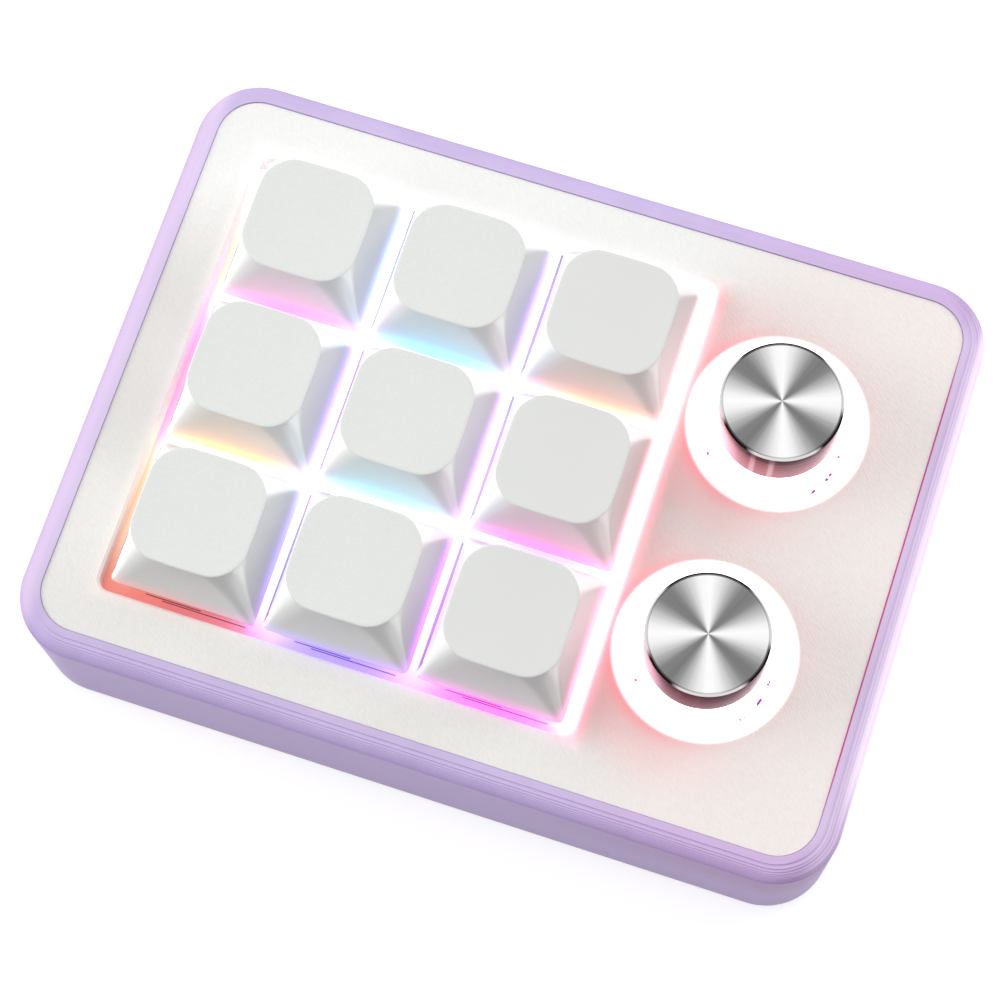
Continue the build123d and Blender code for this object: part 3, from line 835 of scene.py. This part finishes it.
def lavender_material():
    material, tree, inputs = new_material(
        "lavender_print", roughness=0.42, specular=0.35, Emission_Strength=1.0
    )
    printed = use_group(tree, print_group, Lines=0.0, Layers=0.5, Grain=0.35)
    x, y, z = split_xyz(object_coords(tree))
    top = case_high.z
    pinker = between(x, 5 * MM, 45 * MM, 0.0, 0.8)
    rosy_wall = pinker * between(z, 7 * MM, 17 * MM)
    rosy_wall = rosy_wall * fading(z, top - 2.8 * MM, top - 1.8 * MM)
    right_rim = between(x, case_high.x - 1.7 * MM, case_high.x - 0.5 * MM, 0.0, 0.85)
    right_rim = right_rim * between(y, -33 * MM, -22 * MM)
    right_rim = right_rim * between(z, top - 3.2 * MM, top - 2.2 * MM)
    seam = fading(x, plate_high.x + 0.14 * MM, plate_high.x + 0.22 * MM)
    seam = seam * between(x, 46 * MM, 47 * MM) * fading(abs(y), 22 * MM, 31 * MM)
    colour = mix(between(printed["Tone"], 0.35, 0.65), linear(214, 196, 238), linear(218, 201, 242))
    # Painted shade darkens the wall below the shoulder and each step. The pale right rim is a
    # painted highlight that also glows.
    colour = paint(colour, [
        (pinker, (222, 192, 236)),
        (between(abs(x), 46.5 * MM, 49 * MM, 0.0, 0.9), (242, 222, 253)),
        (between(z, top - 3.0 * MM, top - 0.8 * MM, 0.9, 0.0), (188, 162, 217)),
        (rosy_wall, (178, 134, 190)),
        (right_rim, (255, 244, 255)),
        (shoulder_lines(printed, x, y, z) * (1.0 - right_rim * 0.8), (120, 96, 150)),
        (seam, (226, 100, 170)),
    ])
    feed(colour, inputs["Base Color"])
    feed(mix(right_rim, black, linear(108, 98, 112)), inputs["Emission Color"])
    add_bump(inputs, printed["Height"], 0.25, 0.02 * MM)
    return material


lavender = lavender_material()
print("case corner in mm", round(case_corner / MM, 2))

# %% [markdown]
# The plate is white, and painted rosy near the dials by their light. Light comes out of the key
# window and of the two dial holes, and the plate carries it as painted glow along their edges: in
# the colours of the spots at the window, in white at its right side, and in white with a rosy
# halo round each hole. Painted shade darkens its left, its front a little, and a rosy strip
# between the window and the dials.

# %% White print
dial_hole = 10.75 * MM
near_halo = 4.2 * MM
far_halo = 9 * MM
window_gap = 1.3 * MM
window_glow = 2.6 * MM
window_reach = key_pitch + cap_skirt / 2 + window_gap


def under_dials(coords):
    """A mask for what lies under the two dial holes, where ring lights shine."""
    flat = vector_maths("MULTIPLY", coords, (1, 1, 0))
    first, second = [vector_maths("DISTANCE", flat, (spot.x, spot.y, 0)) for spot in knob_spots]
    nearest = maths("MINIMUM", first, second)
    return fading(nearest, dial_hole + 5 * MM, dial_hole + 7 * MM)


def ring_halo(x, y, spot):
    """Glow round a dial's hole, strongest at its left, and a mask for the lit edge."""
    across, along = x - spot.x, y - spot.y
    distance = level_length(across, along)
    side = between((across * 0.95 + along * 0.3) / distance, -1.0, 0.4, 1.0, 0.12)
    close = between(distance, dial_hole, dial_hole + near_halo, 0.9, 0.0) ** 1.5
    wide = between(distance, dial_hole, dial_hole + far_halo, 0.44, 0.0)
    core = fading(distance, dial_hole, dial_hole + 0.6 * MM) ** 2.0
    wall = fading(distance, dial_hole + 0.02 * MM, dial_hole + 0.08 * MM)
    return largest(close, wide) * side, largest(core, wall)


def window_distance(x, y):
    """How far a point of the plate lies outside the window of the keys."""
    middle = cap_spots[4]
    return largest(abs(x - middle.x) - window_reach, abs(y - middle.y) - window_reach)


def plate_material():
    material, tree, inputs = new_material(
        "white_print", roughness=0.5, specular=0.35, Emission_Strength=1.0
    )
    printed = use_group(tree, print_group, Lines=3.0, Layers=0.0, Grain=0.5)
    glow = use_group(tree, glow_group)
    x, y, z = split_xyz(object_coords(tree))
    outside = window_distance(x, y)
    by_keys = fading(abs(y - cap_spots[4].y), 27 * MM, 31 * MM)
    right_side = between(x, 14 * MM, 17 * MM) * by_keys
    halo = between(outside, 0, 3.0 * MM, 0.65, 0.0) * right_side
    core = (fading(outside, 0, 1.1 * MM) * right_side) ** 2.0
    for spot in knob_spots:
        ring_glow, ring_core = ring_halo(x, y, spot)
        halo, core = largest(halo, ring_glow), largest(core, ring_core)
    # Painted shade at the left, and a rosy strip of painted shade between the window and the dials.
    shade_left = between(abs(y), 4 * MM, 26 * MM, 0.62, 0.0)
    shade_left = shade_left * fading(x, -44 * MM, -34 * MM)
    rosy_shade_strip = between(outside, 0.5 * MM, 6.5 * MM, 0.4, 0.0) * right_side
    # Painted shade makes the plate a little darker towards the front. Painted rosy light lies
    # towards the dials and in the halo.
    white = mix(between(y, -8 * MM, 31 * MM), linear(249, 248, 244), linear(251, 251, 249))
    white = paint(white, [
        (shade_left, (226, 222, 219)),
        (between(x, 12 * MM, 30 * MM), (252, 245, 242)),
        (printed["Fill"] * 0.08, (205, 200, 198)),
        (printed["Pits"] * 0.07, (150, 140, 138)),
        (rosy_shade_strip, (214, 170, 168)),
        (halo * 0.75, (255, 145, 150)),
    ])
    feed(white, inputs["Base Color"])
    by_window = fading(outside, 0, window_glow) ** 2.0 * largest(glow["Power"], 0.3)
    behind = between(y, cap_spots[0].y + 6 * MM, cap_spots[0].y + 9 * MM, 1.0, 0.25)
    lit = mix(halo * 0.35, black, linear(255, 90, 110))
    lit = mix(by_window * behind * 0.4, lit, glow["Colour"])
    feed(mix(core, lit, linear(255, 225, 232)), inputs["Emission Color"])
    add_bump(inputs, printed["Height"], 0.5, 0.04 * MM)
    return material


white_print = plate_material()
print("window reaches in mm", round(window_reach / MM, 2))

# %% [markdown]
# Keycaps are moulded in a thick matte plastic with a very fine grain. The colour is a cool
# white, so the grain and a soft gloss do the work. The skirt has painted glow in the colour of
# the lights below it, most at its foot, and painted white highlights lie in the corners and in
# the sides that lie towards the lamps. A mask by the way that the surface faces puts them there.
# The same mask paints shade on the front right ridges and the right sides, and a line of painted
# shade along the foot of each left side. The caps are painted a little greyer towards the right.

# %% Keycap plastic
foot_shade_height = 2.3 * MM
foot_shade_fade = 0.5 * MM
skirt_glow_height = 3.4 * MM


def facing_mask(facing, degrees, low, high):
    """One where a surface faces a level direction, and zero where it turns away from it."""
    turn = radians(degrees)
    return between(facing[0] * cos(turn) + facing[1] * sin(turn), low, high)


def painted_highlights(facing):
    """Painted white highlights on the left sides, the back right corners and a streak at the front
    right.
    """
    left = facing_mask(facing, 180, 0.35, 0.85) * 0.34
    back_right = facing_mask(facing, 48, 0.72, 0.94) * 0.26
    streak = facing_mask(facing, -26, 0.9, 0.95) * 0.12
    return largest(left, back_right, streak)


def keycap_material():
    material, tree, inputs = new_material(
        "keycap_plastic", roughness=0.5, specular=0.3, Emission_Strength=1.0
    )
    coords = object_coords(tree)
    x, y, z = split_xyz(coords)
    facing = split_xyz(Value(add_node(tree, "ShaderNodeTexCoord").outputs["Normal"]))
    glow = use_group(tree, glow_group)
    grain = noise(coords, 3200.0, 4.0, 0.65)
    fine = between(noise(coords, 3000.0, 2.0), 0.3, 0.7)
    # Painted shade on the front right ridges and on the right sides.
    ridge = facing_mask(facing, -62, 0.84, 0.94) * 0.22
    right = facing_mask(facing, 4, 0.86, 0.95) * 0.29
    # Painted shade along the foot of each left side.
    foot = fading(z - cap_low.z, foot_shade_height - foot_shade_fade, foot_shade_height)
    foot_shade = foot * facing_mask(facing, 180, 0.88, 0.93)
    clear = 1.0 - foot_shade * 0.85
    # Painted glow near the skirt, in the colour of the lights below.
    near_skirt = fading(z - cap_low.z, 0, skirt_glow_height)
    share = near_skirt ** 2.0 * largest(glow["Power"], 0.25) * clear
    colour = mix(fine, linear(233, 235, 232), linear(236, 238, 235))
    # Painted shade: caps a little greyer towards the right.
    colour = paint(colour, [
        (between(x, -14 * MM, 10 * MM, 0.0, 0.8), (229, 230, 228)),
        (largest(ridge, right), (110, 110, 108)),
    ])
    colour = mix(share * 0.45, colour, glow["Colour"])
    feed(mix(foot_shade * 0.75, colour, linear(120, 100, 150)), inputs["Base Color"])
    lit = mix(share, black, glow["Colour"])
    lit = mix(painted_highlights(facing) * clear, lit, full_white, "ADD")
    feed(lit, inputs["Emission Color"])
    feed(between(grain, 0.2, 0.8, 0.44, 0.58), inputs["Roughness"])
    add_bump(inputs, grain, 0.25, 0.012 * MM)
    return material


keycap_plastic = keycap_material()
print("skirt of a cap in mm", round(cap_skirt / MM, 2))

# %% [markdown]
# A lathe leaves fine circles on the knob's face, and light falls off them in bright and dark
# sectors that meet in the middle. The sectors are a painted reflection, drawn by the angle round
# the axis, and the circles by the distance from it. The polished edge has painted reflections of
# the dark of the room in two kinds of crescent, and the side a painted reflection of the lit ring
# below in rosy bands with streaks. The tint at low angles keeps that side dark enough beside the
# ring.

# %% Spun metal
sector_turn = radians(17.9)
rim_line = 0.42 * MM
rim_fade = 0.04 * MM
crescents = ((88, 38), (-142, 14), (-33, 16))
streak_shares = (0.6, 0.12)
side_shades = ((155, 146, 149), (116, 106, 108))
side_tints = ((218, 215, 216), (190, 184, 186))


def sector_mask(angle, middle, half, soft=12.0):
    """One inside a sector round the axis. Its middle and half width are in degrees."""
    off = maths("ARCCOSINE", maths("COSINE", angle - radians(middle)))
    return fading(off, radians(half), radians(half + soft))


def round_axis(coords, spot):
    """Angle and distance of a point round a knob's axis, and its height."""
    x, y, z = split_xyz(vector_maths("SUBTRACT", coords, (spot.x, spot.y, 0)))
    return maths("ARCTAN2", y, x), level_length(x, y), z


def knob_face(angle, radius, dark):
    """Painted reflection: grey to white and back, four times round, with faint streaks from the
    middle.
    """
    sector = (maths("COSINE", angle * 4.0) * 0.5 + 0.5) ** 1.15
    streak = between(line_noise(angle, 9.0, 2.0), 0.3, 0.7, -0.02, 0.02)
    face = mix(sector + streak, linear(124, 124, 124), linear(253, 253, 253))
    rim = between(radius, knob_radius - rim_line - rim_fade, knob_radius - rim_line + rim_fade)
    return mix(rim * (dark * 0.45 + 0.4), face, linear(60, 60, 62))


def knob_side(angle, z, streak_share, shade):
    """Painted reflection: bands of rose, grey and white as on polished metal above a lit ring."""
    height = between(z, knob_low.z, knob_high.z)
    front = mix(height, linear(225, 170, 195), linear(180, 158, 162))
    rose = mix(height, linear(190, 100, 112), linear(118, 88, 90))
    grey = mix(height, linear(176, 104, 112), linear(88, 78, 76))
    colour = mix(sector_mask(angle, -108, 12, 20), front, rose)
    colour = mix(sector_mask(angle, -70, 20, 14), colour, grey)
    waves = line_noise(angle * 0.4 + z * 900.0, 2.2, 3.0)
    colour = mix(between(waves, 0.4, 0.7, 0.0, 0.3), colour, linear(225, 200, 205))
    for middle in (-118, -100):
        streak = sector_mask(angle, middle, 1.0, 3.0) * streak_share
        colour = mix(streak, colour, linear(255, 250, 250))
    lit_ends = largest(sector_mask(angle, 180, 20, 30), sector_mask(angle, 0, 10, 25))
    return mix(1.0, colour, mix(lit_ends, shade, full_white), "MULTIPLY")


def knob_material(number, spot):
    material, tree, inputs = new_material(f"spun_metal_{number}", roughness=0.2, metallic=1.0)
    angle, radius, z = round_axis(object_coords(tree), spot)
    angle = angle - sector_turn
    on_face = between(z, knob_high.z - 0.05 * MM, knob_high.z - 0.02 * MM)
    on_edge = between(z, knob_high.z - knob_chamfer - 0.1 * MM, knob_high.z - knob_chamfer)
    dark = largest(*[sector_mask(angle, middle, half) for middle, half in crescents])
    shade = linear(*side_shades[number - 1])
    side = knob_side(angle, z, streak_shares[number - 1], shade)
    edge = mix(dark, linear(225, 222, 224), linear(22, 22, 24))
    colour = mix(on_edge, side, edge)
    feed(mix(on_face, colour, knob_face(angle, radius, dark)), inputs["Base Color"])
    side_tint = linear(*side_tints[number - 1])
    feed(mix(on_edge, side_tint, full_white), inputs["Specular Tint"])
    rings = line_noise(radius, 9000.0, 3.0)
    feed(between(rings, 0.3, 0.7, 0.12, 0.2), inputs["Roughness"])
    add_bump(inputs, rings, 0.02, 0.01 * MM)
    return material


print("metal ready for", len(knobs), "knobs")

# %% [markdown]
# The deck under the keys has painted glow in the light of the spots, strong enough between the
# keys to look white itself and to tint their sides, and a pale painted glow under the dials. Along
# the front edge it is weak, and thin painted shadow lines show there in front of the switches.
# Milky discs spread the light round the dials.

# %% Glowing surfaces
seen_strength = 5.0
cast_strength = 1.2
ring_strength = 1.5
cover_strength = 2.5
lens_strength = 3.0
glint_radius = 8.2 * MM
glint_sectors = ((0, 1.5), (-19, 3.5), (-38, 2), (-148, 1.5))
shadow_line_row = cap_spots[7].y - 8.25 * MM
long_shadow_line = (1.6 * MM, 5.4 * MM, 0)
short_shadow_line = (-2.4 * MM, 3.6 * MM, 0.24 * MM)


def shadow_line(x, y, middle, half, line):
    """A mask for one thin line of painted shadow on the deck, along x."""
    inside = fading(abs(x - middle), half - 0.1 * MM, half)
    return inside * fading(abs(y - line), 0.03 * MM, 0.1 * MM)


def front_shadow_lines(x, y):
    """Each switch of the nearest row gets a long painted shadow line on the deck and a short one
    beside it.
    """
    shadow_lines = []
    for spot in cap_spots[6:]:
        for shift, half, above in (long_shadow_line, short_shadow_line):
            shadow_lines.append(shadow_line(x, y, spot.x + shift, half, shadow_line_row + above))
    return largest(*shadow_lines) * 0.8


def deck_material():
    material, tree, inputs = new_material("lit_deck", roughness=0.5)
    coords = object_coords(tree)
    x, y, z = split_xyz(coords)
    glow = use_group(tree, glow_group)
    # Painted shadow lines in front of the switches of the nearest row.
    shadow_lines = front_shadow_lines(x, y)
    feed(mix(shadow_lines, linear(150, 150, 152), linear(20, 14, 18)), inputs["Base Color"])
    inside = between(window_distance(x, y), 0, 3 * MM, 1.0, 0.05)
    lit = mix(glow["Power"] * inside * (1.0 - shadow_lines), black, glow["Colour"])
    # Painted glow: the lights under the keys, and a pale light under the dial holes.
    feed(mix(under_dials(coords), lit, linear(160, 156, 158)), inputs["Emission Color"])
    seen = Value(add_node(tree, "ShaderNodeLightPath").outputs["Is Camera Ray"])
    strength = seen * (seen_strength - cast_strength) + cast_strength
    feed(strength, inputs["Emission Strength"])
    add_bump(inputs, noise(coords, 1500.0, 2.0), 0.2, 0.02 * MM)
    return material


def cover_material():
    """Pale switch plastic, lit from below like the deck."""
    material, tree, inputs = new_material(
        "clear_cover", base=linear(215, 218, 225), roughness=0.25, Emission_Strength=cover_strength
    )
    glow = use_group(tree, glow_group)
    feed(mix(glow["Power"], black, glow["Colour"]), inputs["Emission Color"])
    add_bump(inputs, noise(object_coords(tree), 800.0, 2.0), 0.1, 0.02 * MM)
    return material


def board_material():
    material, tree, inputs = new_material(
        "circuit_board", roughness=0.35, Emission_Strength=ring_strength
    )
    coords = object_coords(tree)
    copper = between(noise(coords, 260.0, 1.0), 0.55, 0.57)
    feed(mix(copper, linear(16, 17, 20), linear(24, 27, 31)), inputs["Base Color"])
    # Painted glow: white light on the board under the dial holes.
    feed(mix(under_dials(coords), black, linear(255, 250, 252)), inputs["Emission Color"])
    add_bump(inputs, copper, 0.3, 0.03 * MM)
    return material


def lens_material():
    material, tree, inputs = new_material(
        "light_lens", base=linear(245, 245, 240), roughness=0.3, Emission_Strength=lens_strength
    )
    shade = between(noise(object_coords(tree), 400.0, 1.0), 0.3, 0.7)
    feed(mix(shade, linear(255, 240, 246), linear(255, 248, 250)), inputs["Emission Color"])
    return material


def milky_material():
    """Lit milky plastic, with a few violet glints just outside each knob."""
    material, tree, inputs = new_material(
        "milky_disc", roughness=0.3, Emission_Strength=ring_strength
    )
    coords = object_coords(tree)
    broken = between(noise(coords, 1400.0, 1.0), 0.42, 0.52)
    glints = 0.0
    for spot in knob_spots:
        angle, radius, z = round_axis(coords, spot)
        band = fading(abs(radius - glint_radius), 0.08 * MM, 0.3 * MM)
        dashes = [sector_mask(angle, middle, half, 2.0) for middle, half in glint_sectors]
        glints = largest(glints, band * largest(*dashes) * broken)
    feed(mix(glints, linear(250, 248, 248), linear(120, 20, 120)), inputs["Base Color"])
    feed(mix(glints, linear(255, 246, 250), linear(110, 0, 120)), inputs["Emission Color"])
    return material


deck = deck_material()
pale_plastic = cover_material()
board = board_material()
lens = lens_material()
milky = milky_material()
print("glow of the deck", seen_strength, "and of the rings", ring_strength)

# %% [markdown]
# The rest is small hardware: plated steel, brass pins, black and pale moulded plastic, and
# rubber. One function makes a moulded plastic and one a plated metal, each with its grain.

# %% Small hardware finishes
def flecked(coords, scale, colour, share):
    """A colour with soft patches where only a share of it is left."""
    darker = tuple(part * share for part in colour[:3]) + (1.0,)
    return mix(between(noise(coords, scale, 2.0), 0.3, 0.7), darker, colour)


def moulded(name, colour, roughness, grain_scale=1800.0):
    material, tree, inputs = new_material(name, roughness=roughness, specular=0.4)
    coords = object_coords(tree)
    feed(flecked(coords, 150.0, colour, 0.88), inputs["Base Color"])
    add_bump(inputs, noise(coords, grain_scale, 3.0), 0.25, 0.015 * MM)
    return material


def plated(name, colour, roughness):
    material, tree, inputs = new_material(name, roughness=roughness, metallic=1.0)
    coords = object_coords(tree)
    dull = between(noise(coords, 500.0, 3.0), 0.3, 0.7, roughness * 0.7, roughness * 1.4)
    feed(dull, inputs["Roughness"])
    feed(flecked(coords, 90.0, colour, 0.85), inputs["Base Color"])
    add_bump(inputs, noise(coords, 1500.0, 2.0), 0.1, 0.01 * MM)
    return material


def dress(node_name, material):
    """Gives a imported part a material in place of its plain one."""
    slots = nodes[node_name].material_slots
    if not slots:
        nodes[node_name].data.materials.append(material)
    for slot in slots:
        slot.material = material


steel = plated("plated_steel", linear(214, 216, 218), 0.28)
brass = plated("plated_brass", linear(222, 190, 120), 0.3)
black_plastic = moulded("black_plastic", linear(28, 28, 30), 0.45)
stem_plastic = moulded("stem_plastic", linear(198, 70, 66), 0.4)
foot_rubber = moulded("foot_rubber", linear(46, 46, 48), 0.8, 900.0)

# The encoder bases and brackets take the lit milky finish, so they glow white as painted light
# round the dials.
finishes = {
    "bottom_cover": lavender, "face_plate": white_print, "switch_plate": deck,
    "circuit_board": board, "controller_chip": black_plastic, "port_shell": steel,
    "port_tongue": black_plastic, "rubber_feet": foot_rubber, "case_screws": steel,
    "switch_bases": pale_plastic, "switch_covers": pale_plastic, "switch_contacts": brass,
    "key_lights": lens, "ring_lights": lens, "light_diffusers": milky,
    "encoder_bases": milky, "encoder_brackets": milky, "encoder_pins": brass,
}
for number in range(1, 10):
    finishes[f"key_stem_{number}"] = stem_plastic
    finishes[f"key_spring_{number}"] = steel
for number in (1, 2):
    finishes[f"click_dome_{number}"] = steel
    finishes[f"push_plunger_{number}"] = stem_plastic
    finishes[f"encoder_shaft_{number}"] = steel
    finishes[f"knob_screw_{number}"] = steel
for name, material in finishes.items():
    dress(name, material)
print("dressed parts", len(finishes))

# %% [markdown]
# Last, each new piece gets its material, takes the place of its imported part, and rides on
# the body that carries it: the shell on the case, each keycap on its key, each knob on its
# dial. Then they move with the joints.

# %% Put the pieces on their bodies
def place_piece(piece, material, body, node_name):
    piece.data.materials.clear()
    piece.data.materials.append(material)
    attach(piece, body)
    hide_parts(node_name)


place_piece(shell, lavender, "case", "case_frame")
for number, keytop in enumerate(keytops, start=1):
    place_piece(keytop, keycap_plastic, f"key_{number}", f"keycap_{number}")
for number, (knob, spot) in enumerate(zip(knobs, knob_spots), start=1):
    metal = knob_material(number, spot)
    place_piece(knob, metal, f"dial_{number}", f"knob_{number}")
print("pieces placed", 1 + len(keytops) + len(knobs))
